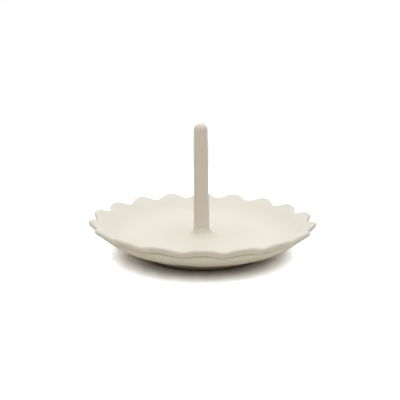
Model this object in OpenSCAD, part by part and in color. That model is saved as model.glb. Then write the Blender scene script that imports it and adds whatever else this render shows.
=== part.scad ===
// Ring dish: a scalloped stoneware saucer with an upright post for finger rings.
// The front is -Y, the scallop crest that faces the viewer; the dish stands on z = 0.

/* [Saucer] */
// Diameter over the crests of the scallops
dish_d = 120; // [95:1:160]
// Depth of the well, from the crests down to the floor
well_depth = 10.3; // [8:0.1:14]
// Thickness of the floor
floor_t = 4.7; // [3.5:0.1:7]
// Thickness of the lip, which is fully rounded
lip_t = 3; // [2:0.1:4]
// How far the round of the lip turns under, in degrees below level
lip_turn = 75; // [60:1:85]
// Slope of the inside of the wall, in degrees
wall_slope = 33; // [26:0.5:38]
// How much steeper the outside of the wall is than the inside, in degrees
wall_draft = 5.5; // [0:0.5:8]
// Radius of the curve from the floor to the inside of the wall
well_curve_r = 26; // [12:1:40]
// Radius of the curve from the underside to the outside of the wall
belly_curve_r = 25; // [12:1:35]

/* [Scallops] */
// Number of scallops round the rim
scallops = 18; // [12:1:24]
// Depth of the notches between scallops, seen from above
notch_depth = 3.9; // [1:0.1:5]
// Narrowness of the notches, from 2 for an even wave
notch_power = 2.8; // [2:0.1:5]

/* [Ring post] */
// Height of the post above the floor
post_h = 59.3; // [35:0.1:90]
// Diameter of the post at the floor
post_base_d = 8.6; // [7.5:0.1:14]
// Diameter of the post where its domed tip begins
post_tip_d = 7.1; // [5:0.1:8.5]
// Diameter of the spigot that plugs the post into the floor
spigot_d = 5; // [3:0.1:6]
// Length of the spigot below the floor
spigot_l = 2.2; // [1:0.1:2.8]
// Radius of the hollow curve of the clay fillet round the post
fillet_r = 5; // [2:0.1:7]
// Thickness left at the two thin edges of the fillet
fillet_edge_t = 0.2; // [0.1:0.05:0.6]

/* [Foot ring] */
// Height of the flat underside above the table
foot_h = 4.6; // [3:0.1:8]
// Width of the foot ring at the table
foot_w = 4; // [2.5:0.1:7]
// Flat underside left bare outside the foot ring
foot_margin = 2.5; // [0.5:0.1:4]
// Slope of the foot ring's sides, in degrees from upright
foot_draft = 7; // [0:0.5:15]
// Rounding of the foot ring's edges at the table
foot_edge_r = 0.6; // [0.2:0.1:1]
// Depth of the groove in the underside that seats the foot ring
foot_seat = 0.8; // [0.4:0.1:1.5]

/* [Fits] */
// Film of slip between a joined piece and the sides of its seat
slip_gap = 0.1; // [0.05:0.01:0.3]

/* [Hidden] */
$fn = 96;
glaze = "#E6E2D7";
bare_clay = "#CDBFA8";

floor_z = foot_h + floor_t;
rim_z = floor_z + well_depth;
rim_r = dish_d / 2;
nose_r = lip_t / 2;
belly_slope = wall_slope + wall_draft;

// Points round the rim and steps along each stretch of the saucer's section
segments = scallops * 8;
well_steps = 7;
lip_steps = 8;
belly_steps = 7;

// At a crest, the brow is where the inside of the wall runs into the round of the lip,
// and the crease is where that round meets the outside of the wall. Both are [radius, height].
brow = [rim_r - nose_r * (1 + sin(wall_slope)), rim_z - nose_r * (1 - cos(wall_slope))];
crease = [rim_r - nose_r * (1 - cos(lip_turn)), rim_z - nose_r * (1 + sin(lip_turn))];

// Radius of the flat floor and of the flat underside
well_flat_r = flat_radius(brow, floor_z, well_curve_r, wall_slope);
belly_flat_r = flat_radius(crease, foot_h, belly_curve_r, belly_slope);

// Foot ring: outer and inner radius at its root, under the dish, and at the table
root_out_r = belly_flat_r - foot_margin;
base_out_r = root_out_r - foot_h * tan(foot_draft);
base_in_r = base_out_r - foot_w;
root_in_r = base_in_r - foot_h * tan(foot_draft);

// Ring post: radius at the floor and at the tip, and the radius it loses per unit of height
post_base_r = post_base_d / 2;
post_tip_r = post_tip_d / 2;
post_taper = (post_base_r - post_tip_r) / (post_h - post_tip_r);
fillet_toe_r = post_base_r + slip_gap + fillet_edge_t + fillet_r;
fillet_h = fillet_edge_t + fillet_r;

// Radius at which a flat ends, when a curve and then a straight slope rise from it to a point
function flat_radius(point, flat_z, curve_r, slope) =
    point[0] - (point[1] - flat_z) / tan(slope) - curve_r * tan(slope / 2);

// Height gained at a distance past the edge of the flat: first the curve, then the slope
function rise(run, curve_r, slope) =
    run < curve_r * sin(slope)
        ? curve_r - sqrt(curve_r * curve_r - run * run)
        : curve_r * (1 - cos(slope)) + (run - curve_r * sin(slope)) * tan(slope);

function well_z(r) = floor_z + rise(r - well_flat_r, well_curve_r, wall_slope);
function belly_z(r) = foot_h + rise(r - belly_flat_r, belly_curve_r, belly_slope);
function mix(a, b, t) = a + (b - a) * t;

// How far the rim draws in at an angle from a crest, and how far it sinks as it does
function notch(angle) = notch_depth * pow(abs(sin(scallops * angle / 2)), notch_power);
function sink(angle) = notch(angle) * tan(wall_slope);

// The saucer's section at an angle, from the floor over the lip to the underside
function well_part(angle) = [
    for (k = [0 : well_steps - 1])
        let (r = mix(well_flat_r, brow[0] - notch(angle), k / well_steps))
        [r, well_z(r)]
];

function lip_part(angle) = [
    for (k = [0 : lip_steps])
        let (turn = mix(90 + wall_slope, -lip_turn, k / lip_steps))
        [
            rim_r - notch(angle) - nose_r * (1 - cos(turn)),
            rim_z - sink(angle) - nose_r * (1 - sin(turn))
        ]
];

// The outside of the wall starts at the crease, so it carries a little of the scallops' wave
function belly_part(angle) =
    let (edge_r = crease[0] - notch(angle), edge_z = crease[1] - sink(angle))
    [
        for (k = [belly_steps - 1 : -1 : 0])
            let (t = k / belly_steps, r = mix(belly_flat_r, edge_r, t))
            [r, belly_z(r) + (edge_z - belly_z(edge_r)) * t * t]
    ];

function section(angle) = concat(well_part(angle), lip_part(angle), belly_part(angle));

function arc(centre, r, from, to, steps = 6) = [
    for (k = [0 : steps])
        centre + r * [cos(mix(from, to, k / steps)), sin(mix(from, to, k / steps))]
];

module saucer_body() {
    rings = well_steps + lip_steps + 1 + belly_steps;
    points = [
        for (i = [0 : segments - 1])
            let (angle = i * 360 / segments)
            for (p = section(angle))
                [p[0] * sin(angle), -p[0] * cos(angle), p[1]]
    ];
    wall = [
        for (i = [0 : segments - 1], j = [0 : rings - 2])
            let (here = i * rings + j, next = (i + 1) % segments * rings + j)
            each [[here, here + 1, next], [next, here + 1, next + 1]]
    ];
    floor_face = [for (i = [0 : segments - 1]) i * rings];
    under_face = [for (i = [segments - 1 : -1 : 0]) i * rings + rings - 1];
    polyhedron(points, concat(wall, [floor_face, under_face]));
}

module dish() {
    color(glaze)
    difference() {
        saucer_body();
        translate([0, 0, floor_z - spigot_l - slip_gap])
            cylinder(r = spigot_d / 2 + slip_gap, h = spigot_l + slip_gap + well_depth);
        rotate_extrude()
            translate([root_in_r - slip_gap, 0])
                square([root_out_r - root_in_r + 2 * slip_gap, foot_h + foot_seat]);
    }
}

// One edge of the foot ring at the table, rounded to meet its sloping side; side is 1 outside
function foot_edge(base_r, side) =
    let (inset = foot_edge_r * (1 / cos(foot_draft) - tan(foot_draft)))
    arc([base_r - side * inset, foot_edge_r], foot_edge_r, -90, side > 0 ? -foot_draft : foot_draft - 180);

module foot_ring() {
    outer_edge = foot_edge(base_out_r, 1);
    inner_edge = foot_edge(base_in_r, -1);
    crown = [
        [root_out_r, foot_h],
        [root_out_r, foot_h + foot_seat],
        [root_in_r, foot_h + foot_seat],
        [root_in_r, foot_h]
    ];
    inner_up = [for (k = [len(inner_edge) - 1 : -1 : 0]) inner_edge[k]];
    color(bare_clay)
    rotate_extrude()
        polygon(concat(outer_edge, crown, inner_up));
}

module ring_post() {
    color(glaze)
    translate([0, 0, floor_z])
    rotate_extrude()
    intersection() {
        union() {
            polygon([
                [0, -spigot_l],
                [spigot_d / 2, -spigot_l],
                [spigot_d / 2, 0],
                [post_base_r, 0],
                [post_tip_r, post_h - post_tip_r],
                [0, post_h - post_tip_r]
            ]);
            translate([0, post_h - post_tip_r])
                circle(r = post_tip_r);
        }
        translate([0, -spigot_l])
            square([post_base_r, spigot_l + post_h]);
    }
}

module post_fillet() {
    color(glaze)
    translate([0, 0, floor_z])
    rotate_extrude()
    difference() {
        polygon([
            [post_base_r + slip_gap, 0],
            [fillet_toe_r, 0],
            [fillet_toe_r, fillet_h],
            [post_base_r + slip_gap - post_taper * fillet_h, fillet_h]
        ]);
        translate([fillet_toe_r, fillet_h])
            circle(r = fillet_r);
    }
}

dish();
foot_ring();
ring_post();
post_fillet();
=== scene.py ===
"""A scalloped stoneware ring dish, glazed satin cream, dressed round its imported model.

The saucer, foot ring, ring post and clay fillet are each modelled as a potter would make them, at
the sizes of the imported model. Lengths are in millimetres and angles in degrees, unless a line says
otherwise, and they are turned into metres and radians where Blender takes them.
"""

import logging
import math
from dataclasses import dataclass, field
from enum import Enum
from typing import NamedTuple

import bmesh
import bpy
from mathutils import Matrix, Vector


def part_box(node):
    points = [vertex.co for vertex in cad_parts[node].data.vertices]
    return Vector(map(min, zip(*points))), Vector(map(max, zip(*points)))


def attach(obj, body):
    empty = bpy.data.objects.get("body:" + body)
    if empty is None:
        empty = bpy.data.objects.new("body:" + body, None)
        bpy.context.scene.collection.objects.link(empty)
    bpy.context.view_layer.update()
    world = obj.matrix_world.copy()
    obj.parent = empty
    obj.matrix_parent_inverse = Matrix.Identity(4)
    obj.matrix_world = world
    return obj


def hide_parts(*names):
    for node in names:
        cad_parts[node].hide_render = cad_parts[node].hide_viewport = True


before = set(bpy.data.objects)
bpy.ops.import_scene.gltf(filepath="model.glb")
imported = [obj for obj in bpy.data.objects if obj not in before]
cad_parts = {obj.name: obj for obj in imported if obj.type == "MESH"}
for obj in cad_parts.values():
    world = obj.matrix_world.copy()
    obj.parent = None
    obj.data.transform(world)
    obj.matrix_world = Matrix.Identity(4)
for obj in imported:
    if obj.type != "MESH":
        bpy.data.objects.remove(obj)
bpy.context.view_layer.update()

MM = 0.001
log = logging.getLogger("ring_dish")

# A section is drawn in radius and height, from the middle of the table
Point = tuple[float, float]
Section = list[Point]
# A span runs from one length to another
Span = tuple[float, float]


class Slot(Enum):
    """The record's material slots."""

    GLAZE = "cream_glaze"
    CLAY = "bare_clay"


def to_linear(code: str) -> tuple[float, float, float, float]:
    """Turns an sRGB hex colour into Blender's linear colour.

    Args:
        code: The colour, such as "#E6E2D7".

    Returns:
        Red, green, blue and an alpha of 1, each from 0 to 1.
    """
    channels = [int(code[place : place + 2], 16) / 255 for place in (1, 3, 5)]
    linear = [c / 12.92 if c <= 0.04045 else ((c + 0.055) / 1.055) ** 2.4 for c in channels]
    return (linear[0], linear[1], linear[2], 1.0)


def add_node(
    tree: bpy.types.NodeTree,
    kind: str,
    settings: dict[str, object] | None = None,
    inputs: dict[int | str, object] | None = None,
) -> bpy.types.Node:
    """Adds a node, sets its settings and fills or links its inputs.

    Args:
        tree: The node tree to add it to.
        kind: The node's type name in Blender.
        settings: Attributes to set on the node.
        inputs: Values for its input sockets, by name or place; a socket among them is linked.

    Returns:
        The new node.
    """
    made = tree.nodes.new(kind)
    for name, value in (settings or {}).items():
        setattr(made, name, value)
    for name, value in (inputs or {}).items():
        if isinstance(value, bpy.types.NodeSocket):
            tree.links.new(value, made.inputs[name])
        else:
            made.inputs[name].default_value = value
    return made


def mix(start: float, end: float, share: float) -> float:
    """Returns the value that lies at a share of the way from start to end."""
    return start + (end - start) * share


def on_circle(centre: Point, radius: float, angle: float) -> Point:
    """Returns the point of a section's circle that lies at an angle above level."""
    turn = math.radians(angle)
    return (centre[0] + radius * math.cos(turn), centre[1] + radius * math.sin(turn))


def arc(centre: Point, radius: float, start: float, end: float, steps: int) -> Section:
    """Points along an arc of a section.

    Args:
        centre: The arc's centre, as a radius and a height.
        radius: The arc's own radius.
        start: The angle of its first point above level.
        end: The angle of its last point.
        steps: How many stretches it has.

    Returns:
        The points from start to end.
    """
    angles = [mix(start, end, step / steps) for step in range(steps + 1)]
    return [on_circle(centre, radius, angle) for angle in angles]


def deselect() -> None:
    """Deselects every object, because an operator acts on all that is selected."""
    bpy.ops.object.select_all(action="DESELECT")


def select_verts(piece: bpy.types.Object, wanted: set[int]) -> None:
    """Selects some of a piece's vertices, and nothing else.

    Args:
        piece: The piece, in edit mode.
        wanted: The numbers of the vertices.
    """
    cage = bmesh.from_edit_mesh(piece.data)
    for vert in cage.verts:
        vert.select = vert.index in wanted
    cage.select_mode = {"VERT"}
    cage.select_flush_mode()
    bmesh.update_edit_mesh(piece.data, loop_triangles=False, destructive=False)


def selected_verts(piece: bpy.types.Object) -> list[tuple[int, Vector]]:
    """Looks up which of a piece's vertices are selected.

    Args:
        piece: The piece, in edit mode.

    Returns:
        The number and place of each, in metres.
    """
    cage = bmesh.from_edit_mesh(piece.data)
    cage.verts.index_update()
    return [(vert.index, vert.co.copy()) for vert in cage.verts if vert.select]


def start_turning(name: str, first: Point, segments: int) -> bpy.types.Object:
    """Adds the filled circle that a turned piece grows from, and opens it in edit mode.

    Args:
        name: The piece's name.
        first: The circle's radius and height.
        segments: How many vertices it has; one of them lies on -Y.

    Returns:
        The piece, in edit mode, with the circle selected.
    """
    deselect()
    bpy.ops.mesh.primitive_circle_add(
        vertices=segments, radius=first[0] * MM, fill_type="NGON", location=(0, 0, 0)
    )
    piece = bpy.context.object
    piece.name = name
    bpy.ops.object.mode_set(mode="EDIT")
    bpy.ops.mesh.select_mode(type="VERT")
    bpy.ops.mesh.select_all(action="SELECT")
    bpy.ops.transform.translate(value=(0, 0, first[1] * MM))
    return piece


def move_ring(before: Point, after: Point) -> None:
    """Brings the selected vertices from one radius and height to another.

    Args:
        before: Where they are.
        after: Where they go.
    """
    scale = after[0] / before[0]
    bpy.ops.transform.resize(value=(scale, scale, 1), center_override=(0, 0, 0))
    bpy.ops.transform.translate(value=(0, 0, (after[1] - before[1]) * MM))


def grow_ring(before: Point, after: Point) -> None:
    """Extrudes the selected ring and brings the new one to its own radius and height."""
    bpy.ops.mesh.extrude_edges_indiv()
    move_ring(before, after)


def close_turning(piece: bpy.types.Object, hollow: bool) -> None:
    """Closes a turned piece and leaves edit mode with its faces pointing outwards.

    Args:
        piece: The piece, in edit mode, with its last ring selected.
        hollow: True for a ring, whose last circle is joined to its first, and False to cap the
            last circle.
    """
    if hollow:
        cage = bmesh.from_edit_mesh(piece.data)
        first_face = max(cage.faces, key=lambda face: len(face.verts))
        bmesh.ops.delete(cage, geom=[first_face], context="FACES_ONLY")
        bmesh.update_edit_mesh(piece.data)
        bpy.ops.mesh.select_all(action="DESELECT")
        bpy.ops.mesh.select_non_manifold()
        bpy.ops.mesh.bridge_edge_loops()
    else:
        bpy.ops.mesh.edge_face_add()
    bpy.ops.mesh.select_all(action="SELECT")
    bpy.ops.mesh.normals_make_consistent(inside=False)
    bpy.ops.object.mode_set(mode="OBJECT")


def smooth(piece: bpy.types.Object, levels: int) -> None:
    """Rounds a piece with subdivision, applies it and shades it smooth.

    Args:
        piece: The piece, in object mode.
        levels: How many times each face is divided.
    """
    deselect()
    piece.select_set(True)
    bpy.context.view_layer.objects.active = piece
    rounding = piece.modifiers.new("rounding", "SUBSURF")
    rounding.levels = levels
    rounding.render_levels = levels
    bpy.ops.object.modifier_apply(modifier=rounding.name)
    bpy.ops.object.shade_smooth()


def turn_piece(
    name: str, section: Section, segments: int, hollow: bool, levels: int
) -> bpy.types.Object:
    """Models a turned piece ring by ring, closes it and rounds it.

    Args:
        name: The piece's name.
        section: The radius and height of each ring, in order.
        segments: How many vertices a ring has before it is rounded.
        hollow: True for a ring, and False for a solid piece.
        levels: How many times each face is divided.

    Returns:
        The piece, in object mode.
    """
    piece = start_turning(name, section[0], segments)
    for before, after in zip(section, section[1:]):
        grow_ring(before, after)
    close_turning(piece, hollow)
    smooth(piece, levels)
    return piece


def settle(piece: bpy.types.Object, tip: float, pivot: float, aside: float) -> None:
    """Tips a piece and slides it sideways, as it settled when it dried and was fired.

    Args:
        piece: The active piece, in object mode.
        tip: The angle by which its right side sinks.
        pivot: The height that it tips about.
        aside: How far it slides to the right.
    """
    bpy.ops.object.mode_set(mode="EDIT")
    bpy.ops.mesh.select_all(action="SELECT")
    # With no window, this operator turns the other way
    bpy.ops.transform.rotate(
        value=math.radians(-tip),
        orient_axis="Y",
        orient_type="GLOBAL",
        center_override=(0, 0, pivot * MM),
    )
    bpy.ops.transform.translate(value=(aside * MM, 0, 0))
    bpy.ops.object.mode_set(mode="OBJECT")


class Blotches(NamedTuple):
    """A cloudy pattern, by the size of its blotches and how many finer layers it has."""

    size: float
    layers: int


@dataclass(frozen=True)
class LipLine:
    """The centre of the lip's round at a crest, and the slope of the wall under it.

    The notches between the crests slide the lip down that slope.
    """

    radius: float
    height: float
    slope: float


@dataclass(frozen=True)
class SatinGlaze:
    """Satin cream feldspar glaze, poured over buff stoneware and fired.

    It gives an even, soft sheen with no hard highlight. The coat varies a little in tone where it
    ran thicker, its skin has a fine orange peel, and the bare clay under it is warmer and dull.
    """

    name: str = "satin_cream_glaze"
    thick: str = "#EAE6DB"
    thin: str = "#E4DFD1"
    cloud: Blotches = Blotches(28.0, 3)
    roughness: float = 0.55
    roughness_swing: float = 0.05
    ior: float = 1.5
    peel: Blotches = Blotches(1.1, 2)
    peel_height: float = 0.012
    ripple: Blotches = Blotches(14.0, 1)
    ripple_height: float = 0.05
    # The outside of the lip, darkened by painted shade where the glaze also breaks thin: heights
    # beside the centre of its round, where this fades in from above and from below
    broken_and_shaded: str = "#DFD8CB"
    break_and_shade_sides: tuple[Span, Span] = ((0.9, -0.3), (-2.3, -1.7))
    # The post: shares of its height and the colour there, with painted warm bounce light low down
    # and painted shade towards the top
    post_light_and_shade_colours: tuple[tuple[float, str], ...] = ((0.1, "#F4E8DB"), (0.7, "#E9DCCE"))
    post_light_and_shade_strength: float = 0.8
    # The wiped foot
    clay: str = "#CDBFA8"
    clay_dark: str = "#BFAF95"
    clay_roughness: float = 0.9
    grog: Blotches = Blotches(0.7, 3)
    wipe_wobble: Blotches = Blotches(6.0, 2)
    wipe_wobble_height: float = 0.6
    wipe_fade: float = 0.4

    def material(
        self,
        bare_below: float | None = None,
        post_light_and_shade_span: Span | None = None,
        lip: LipLine | None = None,
    ) -> bpy.types.Material:
        """Makes the glaze.

        Args:
            bare_below: The height under which the clay was wiped clean of glaze, or None.
            post_light_and_shade_span: The heights between which painted bounce light and shade lie
                on the post, or None.
            lip: The line of the lip, over which the glaze breaks thin, or None.

        Returns:
            The material.
        """
        made = bpy.data.materials.new(self.name)
        made.use_nodes = True
        tree = made.node_tree
        shader = tree.nodes["Principled BSDF"]
        shader.inputs["IOR"].default_value = self.ior
        place = add_node(tree, "ShaderNodeTexCoord").outputs["Object"]
        cloud, peel, ripple = (
            add_node(
                tree,
                "ShaderNodeTexNoise",
                None,
                {"Vector": place, "Scale": 1 / (noise.size * MM), "Detail": noise.layers},
            ).outputs[0]
            for noise in (self.cloud, self.peel, self.ripple)
        )
        tone = add_node(
            tree,
            "ShaderNodeMix",
            {"data_type": "RGBA"},
            {0: cloud, 6: to_linear(self.thin), 7: to_linear(self.thick)},
        ).outputs[2]
        # Painted bounce light and shade on the post
        if post_light_and_shade_span is not None:
            tone = self._paint_post_light_and_shade(tree, place, tone, post_light_and_shade_span)
        # Painted shade over the outside of the lip, where the glaze also breaks thin
        if lip is not None:
            tone = self._break_and_shade(tree, place, tone, lip)
        gloss = add_node(
            tree,
            "ShaderNodeMapRange",
            None,
            {
                "Value": cloud,
                "To Min": self.roughness + self.roughness_swing,
                "To Max": self.roughness - self.roughness_swing,
            },
        ).outputs["Result"]
        skin = add_node(
            tree,
            "ShaderNodeBump",
            None,
            {"Height": ripple, "Distance": self.ripple_height * MM},
        ).outputs["Normal"]
        skin = add_node(
            tree,
            "ShaderNodeBump",
            None,
            {"Height": peel, "Distance": self.peel_height * MM, "Normal": skin},
        ).outputs["Normal"]
        if bare_below is not None:
            tone, gloss = self._wipe(tree, place, tone, gloss, bare_below)
        tree.links.new(tone, shader.inputs["Base Color"])
        tree.links.new(gloss, shader.inputs["Roughness"])
        tree.links.new(skin, shader.inputs["Normal"])
        return made

    def _paint_post_light_and_shade(
        self,
        tree: bpy.types.NodeTree,
        place: bpy.types.NodeSocket,
        tone: bpy.types.NodeSocket,
        heights: Span,
    ) -> bpy.types.NodeSocket:
        """Paints bounce light and shade on the post: warm and lighter low down, darker towards the
        top.

        Args:
            tree: The material's node tree.
            place: The coordinates, in metres.
            tone: The glaze's own colour, which shows at the bottom.
            heights: The bottom and the top of the painted light and shade, above the table.

        Returns:
            The colour, warmer above the bottom and darker towards the top.
        """
        level = add_node(tree, "ShaderNodeSeparateXYZ", None, {0: place}).outputs["Z"]
        climb = add_node(
            tree,
            "ShaderNodeMapRange",
            None,
            {"Value": level, "From Min": heights[0] * MM, "From Max": heights[1] * MM},
        ).outputs["Result"]
        ramp = add_node(tree, "ShaderNodeValToRGB", None, {0: climb})
        for point, (stop, colour) in zip(ramp.color_ramp.elements, self.post_light_and_shade_colours):
            point.position = stop
            point.color = to_linear(colour)
        start = add_node(
            tree,
            "ShaderNodeMapRange",
            {"interpolation_type": "SMOOTHSTEP"},
            {"Value": climb, "From Max": self.post_light_and_shade_colours[0][0], "To Max": self.post_light_and_shade_strength},
        ).outputs["Result"]
        return add_node(
            tree, "ShaderNodeMix", {"data_type": "RGBA"}, {0: start, 6: tone, 7: ramp.outputs[0]}
        ).outputs[2]

    def _break_and_shade(
        self,
        tree: bpy.types.NodeTree,
        place: bpy.types.NodeSocket,
        tone: bpy.types.NodeSocket,
        lip: LipLine,
    ) -> bpy.types.NodeSocket:
        """Darkens the outside of the lip along the scallops with painted shade, where the coat also
        breaks thinner and warmer.

        The notches slide the lip down the slope of the wall, so the height above a cone of that
        slope tells how far round the lip a point lies.

        Args:
            tree: The material's node tree.
            place: The coordinates, in metres.
            tone: The glaze's colour elsewhere.
            lip: The line of the lip.

        Returns:
            The colour, with the painted shade and the break in.
        """
        slope = math.tan(math.radians(lip.slope))
        middle = lip.height - lip.radius * slope
        level = add_node(tree, "ShaderNodeSeparateXYZ", None, {0: place}).outputs["Z"]
        flat = add_node(
            tree, "ShaderNodeVectorMath", {"operation": "MULTIPLY"}, {0: place, 1: (1.0, 1.0, 0.0)}
        ).outputs[0]
        reach = add_node(
            tree, "ShaderNodeVectorMath", {"operation": "LENGTH"}, {0: flat}
        ).outputs["Value"]
        above = add_node(
            tree, "ShaderNodeMath", {"operation": "MULTIPLY_ADD"}, {0: reach, 1: -slope, 2: level}
        ).outputs[0]
        sides = [
            add_node(
                tree,
                "ShaderNodeMapRange",
                {"interpolation_type": "SMOOTHSTEP"},
                {
                    "Value": above,
                    "From Min": (middle + start) * MM,
                    "From Max": (middle + end) * MM,
                },
            ).outputs["Result"]
            for start, end in self.break_and_shade_sides
        ]
        # The share of painted shade and thin glaze over the outside of the lip
        thin = add_node(
            tree, "ShaderNodeMath", {"operation": "MULTIPLY"}, {0: sides[0], 1: sides[1]}
        ).outputs[0]
        return add_node(
            tree,
            "ShaderNodeMix",
            {"data_type": "RGBA"},
            {0: thin, 6: tone, 7: to_linear(self.broken_and_shaded)},
        ).outputs[2]

    def _wipe(
        self,
        tree: bpy.types.NodeTree,
        place: bpy.types.NodeSocket,
        tone: bpy.types.NodeSocket,
        gloss: bpy.types.NodeSocket,
        height: float,
    ) -> tuple[bpy.types.NodeSocket, bpy.types.NodeSocket]:
        """Leaves the clay bare under a slightly uneven line.

        Args:
            tree: The material's node tree.
            place: The coordinates, in metres.
            tone: The glaze's colour.
            gloss: The glaze's roughness.
            height: The line's height above the table.

        Returns:
            The colour and the roughness, with the bare clay in.
        """
        wobble, grog = (
            add_node(
                tree,
                "ShaderNodeTexNoise",
                None,
                {"Vector": place, "Scale": 1 / (noise.size * MM), "Detail": noise.layers},
            ).outputs[0]
            for noise in (self.wipe_wobble, self.grog)
        )
        level = add_node(tree, "ShaderNodeSeparateXYZ", None, {0: place}).outputs["Z"]
        edge = add_node(
            tree,
            "ShaderNodeMath",
            {"operation": "MULTIPLY_ADD"},
            {0: wobble, 1: self.wipe_wobble_height * MM, 2: level},
        ).outputs[0]
        cover = add_node(
            tree,
            "ShaderNodeMapRange",
            {"interpolation_type": "SMOOTHSTEP"},
            {"Value": edge, "From Min": height * MM, "From Max": (height + self.wipe_fade) * MM},
        ).outputs["Result"]
        bare = add_node(
            tree,
            "ShaderNodeMix",
            {"data_type": "RGBA"},
            {0: grog, 6: to_linear(self.clay_dark), 7: to_linear(self.clay)},
        ).outputs[2]
        colour = add_node(
            tree, "ShaderNodeMix", {"data_type": "RGBA"}, {0: cover, 6: bare, 7: tone}
        ).outputs[2]
        rough = add_node(
            tree,
            "ShaderNodeMix",
            {"data_type": "FLOAT"},
            {0: cover, 2: self.clay_roughness, 3: gloss},
        ).outputs[0]
        return colour, rough


@dataclass(frozen=True)
class WallSide:
    """One side of the saucer's wall: a flat, a curve that rises from it and a straight slope.

    The point where the side ends at a crest sets the line of the slope.
    """

    flat_z: float
    curve: float
    slope: float
    crest: Point

    def flat_radius(self) -> float:
        """Works out where the flat ends and the curve begins.

        Returns:
            The radius.
        """
        angle = math.radians(self.slope)
        across = (self.crest[1] - self.flat_z) / math.tan(angle)
        return self.crest[0] - across - self.curve * math.tan(angle / 2)

    def height(self, radius: float) -> float:
        """Works out how high the side lies.

        Args:
            radius: A radius past the flat.

        Returns:
            The height there.
        """
        angle = math.radians(self.slope)
        run = radius - self.flat_radius()
        bend = self.curve * math.sin(angle)
        if run < bend:
            return self.flat_z + self.curve - math.sqrt(self.curve**2 - run**2)
        return self.flat_z + self.curve * (1 - math.cos(angle)) + (run - bend) * math.tan(angle)

    def points(self, top: Point, shares: list[float]) -> Section:
        """The side where it ends at a given top, which may lie beside its own line.

        Args:
            top: Where the side ends.
            shares: How far from the flat to the top each point lies, from 0 up to, but without, 1.

        Returns:
            The points, in that order.
        """
        step_off = top[1] - self.height(top[0])
        radii = [mix(self.flat_radius(), top[0], share) for share in shares]
        return [
            (radius, self.height(radius) + step_off * share**2)
            for radius, share in zip(radii, shares)
        ]


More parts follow.
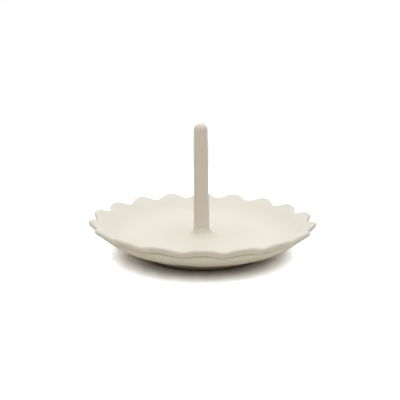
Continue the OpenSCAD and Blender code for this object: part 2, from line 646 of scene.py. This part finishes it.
@dataclass
class Saucer:
    """The scalloped saucer, with a socket for the post and a seat for the foot ring."""

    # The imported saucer's box, in metres
    low: Vector
    high: Vector
    # The rounded lip, and how far it turns under, below level: everywhere, and more at a crest
    lip: float = 3.0
    lip_turn: float = 75.0
    undercut_turn: float = 45.0
    lip_steps: int = 8
    # The groove under the lip, from the wall up: places on the wall, as shares of its width, and
    # where they lie at a crest, from the centre of the lip's round. A notch has a share of it.
    groove_places: tuple[float, ...] = (0.94, 0.96, 0.98)
    groove: tuple[Point, ...] = ((-1.55, -3.0), (-2.8, -2.2), (-2.6, -0.95))
    groove_share: float = 0.45
    # The floor and the wall
    floor_thickness: float = 4.7
    floor_rings: tuple[float, ...] = (9.0, 20.0)
    under_rings: tuple[float, ...] = (18.0, 8.0)
    wall_slope: float = 33.0
    wall_draft: float = 5.5
    well_curve: float = 26.0
    well_steps: int = 7
    belly_curve: float = 25.0
    belly_steps: int = 8
    # The scallops
    scallops: int = 18
    notch_depth: float = 3.9
    notch_power: float = 2.8
    steps_per_scallop: int = 8
    # The post's socket and the foot ring's seat, with room for the slip
    socket_radius: float = 2.6
    socket_depth: float = 2.3
    seat_inner: float = 27.3
    seat_outer: float = 32.6
    seat_depth: float = 0.8
    # The angle by which the right side sank in the kiln
    warp: float = 0.57
    rounding: int = 2
    under_z: float = field(init=False)
    floor_z: float = field(init=False)
    rim_z: float = field(init=False)
    rim_r: float = field(init=False)
    nose: float = field(init=False)

    def __post_init__(self) -> None:
        """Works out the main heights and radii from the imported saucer's box."""
        self.under_z = self.low.z / MM
        self.rim_z = self.high.z / MM
        self.rim_r = (self.high.y - self.low.y) / 2 / MM
        self.floor_z = self.under_z + self.floor_thickness
        self.nose = self.lip / 2

    def lip_line(self) -> LipLine:
        """Returns the line of the lip."""
        return LipLine(self.rim_r - self.nose, self.rim_z - self.nose, self.wall_slope)

    def section(self, notch: float) -> Section:
        """The saucer's section where the rim is drawn in by a notch.

        Args:
            notch: How far the rim is drawn in there.

        Returns:
            The points from the bottom of the socket over the lip to the middle of the underside.
        """
        sink = notch * math.tan(math.radians(self.wall_slope))
        inner_turn = 90 + self.wall_slope
        at_crest = (self.lip_line().radius, self.lip_line().height)
        nose = (at_crest[0] - notch, at_crest[1] - sink)
        overhang = mix(1, self.groove_share, notch / self.notch_depth)
        outer_turn = -self.lip_turn - self.undercut_turn * overhang
        lip = arc(nose, self.nose, inner_turn, outer_turn, self.lip_steps)
        inside = WallSide(
            flat_z=self.floor_z,
            curve=self.well_curve,
            slope=self.wall_slope,
            crest=on_circle(at_crest, self.nose, inner_turn),
        )
        outside = WallSide(
            flat_z=self.under_z,
            curve=self.belly_curve,
            slope=self.wall_slope + self.wall_draft,
            crest=on_circle(at_crest, self.nose, -self.lip_turn),
        )
        well_places = [step / self.well_steps for step in range(self.well_steps)]
        belly_places = [step / self.belly_steps for step in range(self.belly_steps)]
        well = inside.points(lip[0], well_places)
        belly = outside.points(
            on_circle(nose, self.nose, -self.lip_turn), [*belly_places, *self.groove_places]
        )
        plain = belly[-len(self.groove) :]
        belly[-len(self.groove) :] = [
            (mix(point[0], nose[0] + across, overhang), mix(point[1], nose[1] + up, overhang))
            for point, (across, up) in zip(plain, self.groove)
        ]
        middle = [
            (self.socket_radius, self.floor_z - self.socket_depth),
            (self.socket_radius, self.floor_z),
            *((radius, self.floor_z) for radius in self.floor_rings),
        ]
        under = [
            (self.seat_outer, self.under_z),
            (self.seat_outer, self.under_z + self.seat_depth),
            (self.seat_inner, self.under_z + self.seat_depth),
            (self.seat_inner, self.under_z),
            *((radius, self.under_z) for radius in self.under_rings),
        ]
        return middle + well + lip + belly[::-1] + under

    def notch(self, phase: float) -> float:
        """Returns how far the rim is drawn in at a share of the way from crest to crest."""
        return self.notch_depth * abs(math.sin(math.pi * phase)) ** self.notch_power

    def build(self) -> bpy.types.Object:
        """Models the saucer.

        Returns:
            The finished piece.
        """
        half = self.steps_per_scallop // 2
        sections = [
            self.section(self.notch(step / self.steps_per_scallop)) for step in range(half + 1)
        ]
        segments = self.scallops * self.steps_per_scallop
        piece = start_turning("saucer", sections[0][0], segments)
        for ring in range(1, len(sections[0])):
            bpy.ops.mesh.extrude_edges_indiv()
            self._shape_ring(piece, [(s[ring - 1], s[ring]) for s in sections], segments)
        close_turning(piece, hollow=False)
        self._crease_corners(piece)
        smooth(piece, self.rounding)
        settle(piece, self.warp, self.under_z, 0)
        return piece

    def _shape_ring(
        self, piece: bpy.types.Object, moves: list[tuple[Point, Point]], segments: int
    ) -> None:
        """Brings the selected ring to its place, one group of like vertices at a time.

        Args:
            piece: The saucer, in edit mode, with the new ring selected.
            moves: Where the ring's vertices are and go, from a crest to the middle of a notch.
            segments: How many vertices the ring has.
        """
        if len(set(moves)) == 1:
            move_ring(*moves[0])
            return
        ring = selected_verts(piece)
        turn = 2 * math.pi / segments
        for step, move in enumerate(moves):
            alike = {step, (self.steps_per_scallop - step) % self.steps_per_scallop}
            group = {
                number
                for number, place in ring
                if round(math.atan2(place.x, -place.y) / turn) % self.steps_per_scallop in alike
            }
            select_verts(piece, group)
            move_ring(*move)
        select_verts(piece, {number for number, _ in ring})

    def _crease_corners(self, piece: bpy.types.Object) -> None:
        """Keeps the socket's and the seat's corners sharp under the rounding.

        Args:
            piece: The saucer, in object mode.
        """
        radii = (self.socket_radius, self.seat_inner, self.seat_outer)
        tolerance = 0.01
        deselect()
        piece.select_set(True)
        bpy.context.view_layer.objects.active = piece
        bpy.ops.object.mode_set(mode="EDIT")
        corners = {
            vert.index
            for vert in piece.data.vertices
            if any(abs(vert.co.xy.length / MM - radius) < tolerance for radius in radii)
        }
        select_verts(piece, corners)
        bpy.ops.transform.edge_crease(value=1)
        bpy.ops.object.mode_set(mode="OBJECT")


@dataclass
class FootRing:
    """The ring of clay that the dish stands on, wiped clean of glaze where it meets the table."""

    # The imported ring's box, in metres
    low: Vector
    high: Vector
    width: float = 4.0
    draft: float = 7.0
    edge: float = 0.6
    edge_steps: int = 3
    seat_depth: float = 0.8
    # The hollow curve up to the underside, and the short upright above it that keeps it sharp
    cove: float = 1.2
    cove_steps: int = 4
    upright: float = 0.05
    segments: int = 96
    rounding: int = 1
    # The height under which it was wiped clean of glaze
    bare_below: float = 1.2

    def build(self) -> bpy.types.Object:
        """Models the foot ring.

        Returns:
            The finished piece.
        """
        crown_z = self.high.z / MM
        root_z = crown_z - self.seat_depth
        root_out = (self.high.x - self.low.x) / 2 / MM
        lean = root_z * math.tan(math.radians(self.draft))
        base_out = root_out - lean
        base_in = base_out - self.width
        root_in = base_in - lean
        outer = (root_out + self.cove, root_z - self.cove)
        inner = (root_in - self.cove, root_z - self.cove)
        outer_edge = (base_out - self.edge, self.edge)
        inner_edge = (base_in + self.edge, self.edge)
        section = [
            *arc(outer_edge, self.edge, -90, -self.draft, self.edge_steps),
            *arc(outer, self.cove, 180, 90, self.cove_steps),
            (root_out, root_z + self.upright),
            (root_out, crown_z),
            (root_in, crown_z),
            (root_in, root_z + self.upright),
            *arc(inner, self.cove, 90, 0, self.cove_steps),
            *arc(inner_edge, self.edge, 180 + self.draft, 270, self.edge_steps),
        ]
        return turn_piece("foot", section, self.segments, hollow=True, levels=self.rounding)


@dataclass
class RingPost:
    """The solid tapered post, rolled by hand, with a domed tip and a spigot under the floor."""

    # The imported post's box, in metres
    low: Vector
    high: Vector
    spigot_length: float = 2.2
    spigot_radius: float = 2.5
    shaft_steps: int = 6
    tip_radius: float = 3.55
    # The dome is drawn up to this angle, and a small flat closes it under the rounding
    dome_turn: float = 84.0
    dome_steps: int = 8
    # How far the post leans to the left, and where it stands beside the middle
    lean: float = 0.55
    aside: float = -0.3
    segments: int = 48
    rounding: int = 2

    def build(self) -> bpy.types.Object:
        """Models the post.

        Returns:
            The finished piece.
        """
        base_r = (self.high.x - self.low.x) / 2 / MM
        floor_z = self.low.z / MM + self.spigot_length
        tip_z = self.high.z / MM
        shoulder_z = tip_z - self.tip_radius
        steps = [step / self.shaft_steps for step in range(self.shaft_steps)]
        section = [
            (self.spigot_radius, floor_z - self.spigot_length),
            (self.spigot_radius, floor_z),
            *(
                (mix(base_r, self.tip_radius, step), mix(floor_z, shoulder_z, step))
                for step in steps
            ),
            *arc((0, shoulder_z), self.tip_radius, 0, self.dome_turn, self.dome_steps),
        ]
        piece = turn_piece("post", section, self.segments, hollow=False, levels=self.rounding)
        settle(piece, -self.lean, floor_z, self.aside)
        return piece


@dataclass
class PostFillet:
    """The coil of clay that was pressed round the post and smoothed to a hollow curve."""

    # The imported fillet's box, in metres
    low: Vector
    high: Vector
    # Where the post stands beside the middle
    aside: float
    post_radius: float = 4.3
    # How far it laps into the post, and how thick it is left at its toe and its top
    lap: float = 0.3
    edge: float = 0.03
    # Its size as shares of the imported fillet's
    toe_share: float = 0.86
    climb_share: float = 0.8
    curve_steps: int = 12
    segments: int = 72
    rounding: int = 1

    def build(self) -> bpy.types.Object:
        """Models the fillet.

        Returns:
            The finished piece.
        """
        floor_z = self.low.z / MM
        toe_r = self.toe_share * (self.high.x - self.low.x) / 2 / MM
        height = self.climb_share * (self.high.z / MM - floor_z)
        spread = toe_r - self.post_radius
        section = [
            (self.post_radius - self.lap, floor_z - self.edge),
            (toe_r, floor_z - self.edge),
            *(
                (toe_r + spread * across, floor_z + self.edge + height * (1 + up))
                for across, up in arc((0, 0), 1, 270, 180, self.curve_steps)
            ),
            (self.post_radius - self.lap, floor_z + self.edge + height),
        ]
        piece = turn_piece("fillet", section, self.segments, hollow=True, levels=self.rounding)
        settle(piece, 0, floor_z, self.aside)
        return piece


@dataclass(frozen=True)
class Lamp:
    """A round soft panel that faces the middle of the dish, with its power in watts."""

    name: str
    azimuth: float
    elevation: float
    distance: float
    size: float
    power: float
    colour: str = "#FFFFFF"

    def place(self, target: Vector) -> bpy.types.Object:
        """Hangs the panel.

        Args:
            target: The point that it faces, in metres.

        Returns:
            The lamp.
        """
        turn = math.radians(self.azimuth)
        rise = math.radians(self.elevation)
        flat = math.cos(rise)
        away = Vector((math.sin(turn) * flat, -math.cos(turn) * flat, math.sin(rise)))
        spot = target + away * self.distance * MM
        deselect()
        bpy.ops.object.light_add(type="AREA", location=spot)
        made = bpy.context.object
        made.name = self.name
        made.data.shape = "DISK"
        made.data.energy = self.power
        made.data.size = self.size * MM
        made.data.color = to_linear(self.colour)[:3]
        made.rotation_euler = away.to_track_quat("Z", "Y").to_euler()
        return made


def seen_share(tree: bpy.types.NodeTree) -> bpy.types.NodeSocket:
    """Adds the nodes that tell what is seen from what only lights.

    Args:
        tree: The node tree of a surface or of the world.

    Returns:
        1 for a ray from the camera, a reflection or a refraction, and 0 for any other.
    """
    path = add_node(tree, "ShaderNodeLightPath").outputs
    seen = path["Is Camera Ray"]
    for other in ("Is Glossy Ray", "Is Transmission Ray"):
        seen = add_node(
            tree, "ShaderNodeMath", {"operation": "MAXIMUM"}, {0: seen, 1: path[other]}
        ).outputs[0]
    return seen


@dataclass(frozen=True)
class WhiteTable:
    """Matt white card, which the camera sees brighter than it is, so that only the shadow shows.

    The light that it throws back is a warm white. Next to the foot a painted shadow makes it darker
    and warmer, both as seen and in the light that it throws back, which deepens the shadow there.
    """

    bounce: str = "#FFFAF0"
    seen: str = "#E9F0FF"
    seen_gain: float = 3.5
    painted_shadow_bounce: str = "#6E6558"
    painted_shadow_seen: str = "#AE977C"
    # Distances from the middle of the dish: between the first two the painted shadow by the foot
    # fades out, and between the last two plain white begins
    painted_shadow_ends: Span = (29.0, 44.0)
    plain_begins: Span = (120.0, 300.0)

    def material(self) -> bpy.types.Material:
        """Makes the card. From beneath it is clear, so that the underside of the dish shows.

        Returns:
            The material.
        """
        made = bpy.data.materials.new("white_table")
        made.use_nodes = True
        tree = made.node_tree
        tree.nodes.remove(tree.nodes["Principled BSDF"])
        seen = seen_share(tree)
        camera = add_node(tree, "ShaderNodeLightPath").outputs["Is Camera Ray"]
        place = add_node(tree, "ShaderNodeTexCoord").outputs["Object"]
        reach = add_node(
            tree, "ShaderNodeVectorMath", {"operation": "LENGTH"}, {0: place}
        ).outputs["Value"]
        painted_shadow_share, far = (
            add_node(
                tree,
                "ShaderNodeMapRange",
                {"interpolation_type": "SMOOTHSTEP"},
                {"Value": reach, "From Min": start * MM, "From Max": end * MM},
            ).outputs["Result"]
            for start, end in (self.painted_shadow_ends, self.plain_begins)
        )
        lit = [channel * self.seen_gain for channel in to_linear(self.seen)[:3]]
        # Painted shadow by the foot, as the camera sees the card
        shadow = add_node(
            tree,
            "ShaderNodeMix",
            {"data_type": "RGBA"},
            {0: painted_shadow_share, 6: to_linear(self.painted_shadow_seen), 7: (*lit, 1.0)},
        ).outputs[2]
        # Painted shadow by the foot, in the light that the card throws back
        bounce = add_node(
            tree,
            "ShaderNodeMix",
            {"data_type": "RGBA"},
            {0: painted_shadow_share, 6: to_linear(self.painted_shadow_bounce), 7: to_linear(self.bounce)},
        ).outputs[2]
        tint = add_node(
            tree, "ShaderNodeMix", {"data_type": "RGBA"}, {0: camera, 6: bounce, 7: shadow}
        ).outputs[2]
        near = add_node(tree, "ShaderNodeBsdfDiffuse", None, {"Color": tint}).outputs[0]
        white = add_node(tree, "ShaderNodeEmission", None, {"Strength": seen}).outputs[0]
        share = add_node(
            tree, "ShaderNodeMath", {"operation": "MULTIPLY"}, {0: far, 1: seen}
        ).outputs[0]
        card = add_node(
            tree, "ShaderNodeMixShader", None, {0: share, 1: near, 2: white}
        ).outputs[0]
        beneath = add_node(tree, "ShaderNodeNewGeometry").outputs["Backfacing"]
        clear = add_node(tree, "ShaderNodeBsdfTransparent").outputs[0]
        sheet = add_node(
            tree, "ShaderNodeMixShader", None, {0: beneath, 1: card, 2: clear}
        ).outputs[0]
        tree.links.new(sheet, tree.nodes["Material Output"].inputs["Surface"])
        return made


@dataclass
class Studio:
    """A white table under one wide round panel, and the camera."""

    # The middle of the rim, in metres
    rim_centre: Vector
    # The camera, as it was fitted to the photograph, and where the middle of the rim lies in it
    distance: float = 318.5
    elevation: float = 14.56
    focal_pixels: float = 598.0
    picture_width: int = 400
    rim_pixel: tuple[float, float] = (202.3, 215.6)
    sensor: float = 36.0
    nearest: float = 10.0
    table_size: float = 3000.0
    # The light that the dim, warm room around adds
    room: str = "#383630"
    panel: Lamp = Lamp(
        name="overhead_panel",
        azimuth=90,
        elevation=89.1,
        distance=700,
        size=1500,
        power=9.8,
    )

    def build(self) -> None:
        """Sets up the table, the panel, the world and the camera."""
        self._table()
        self._world()
        self.panel.place(self.rim_centre)
        self._camera()
        bpy.context.scene.view_settings.view_transform = "Standard"

    def _camera(self) -> None:
        """Adds the camera where the photograph was taken from."""
        rise = math.radians(self.elevation)
        centre = self.picture_width / 2
        right = self.rim_pixel[0] - centre
        below = self.rim_pixel[1] - centre
        yaw = math.atan2(right, self.focal_pixels)
        pitch = rise - math.atan2(below, math.hypot(self.focal_pixels, right))
        away = Vector((0, -math.cos(rise), math.sin(rise)))
        spot = self.rim_centre + away * self.distance * MM
        deselect()
        bpy.ops.object.camera_add(location=spot, rotation=(math.pi / 2 - pitch, 0, yaw))
        camera = bpy.context.object
        camera.data.sensor_width = self.sensor
        camera.data.lens = self.focal_pixels / self.picture_width * self.sensor
        camera.data.clip_start = self.nearest * MM
        bpy.context.scene.camera = camera

    def _table(self) -> None:
        """Adds the white table, and keeps it out of the dish's own pieces."""
        deselect()
        bpy.ops.mesh.primitive_plane_add(size=self.table_size * MM, location=(0, 0, 0))
        table = bpy.context.object
        table.name = "table"
        table.data.materials.append(WhiteTable().material())

    def _world(self) -> None:
        """Makes the surroundings: white where they are seen, and a dim room where they light."""
        world = bpy.data.worlds.new("studio")
        world.use_nodes = True
        bpy.context.scene.world = world
        tree = world.node_tree
        colour = add_node(
            tree,
            "ShaderNodeMix",
            {"data_type": "RGBA"},
            {0: seen_share(tree), 6: to_linear(self.room), 7: to_linear("#FFFFFF")},
        ).outputs[2]
        tree.links.new(colour, tree.nodes["Background"].inputs["Color"])


def dress(piece: bpy.types.Object, finish: bpy.types.Material, node: str) -> None:
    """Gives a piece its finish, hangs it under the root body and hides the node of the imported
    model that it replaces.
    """
    piece.data.materials.clear()
    piece.data.materials.append(finish)
    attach(piece, "root")
    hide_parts(node)
    size = [round(length / MM, 1) for length in piece.dimensions]
    log.info("%s: %s mm, %d faces", piece.name, size, len(piece.data.polygons))


def main() -> None:
    """Builds the dish, piece by piece, and the studio round it."""
    logging.basicConfig(level=logging.INFO, format="%(name)s: %(message)s")
    glaze = SatinGlaze()
    saucer = Saucer(*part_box("dish"))
    foot = FootRing(*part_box("foot_ring"))
    post = RingPost(*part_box("ring_post"))
    fillet = PostFillet(*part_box("post_fillet"), aside=post.aside)
    glazed = glaze.material(lip=saucer.lip_line())
    wiped = glaze.material(bare_below=foot.bare_below)
    # The post's and the fillet's glaze, with painted warm bounce light low down and painted shade
    # towards the top
    run = glaze.material(post_light_and_shade_span=(saucer.floor_z, post.high.z / MM))
    dress(saucer.build(), glazed, "dish")
    dress(foot.build(), wiped, "foot_ring")
    dress(post.build(), run, "ring_post")
    dress(fillet.build(), run, "post_fillet")
    Studio(Vector((0, 0, saucer.rim_z * MM))).build()


if __name__ == "__main__":
    main()
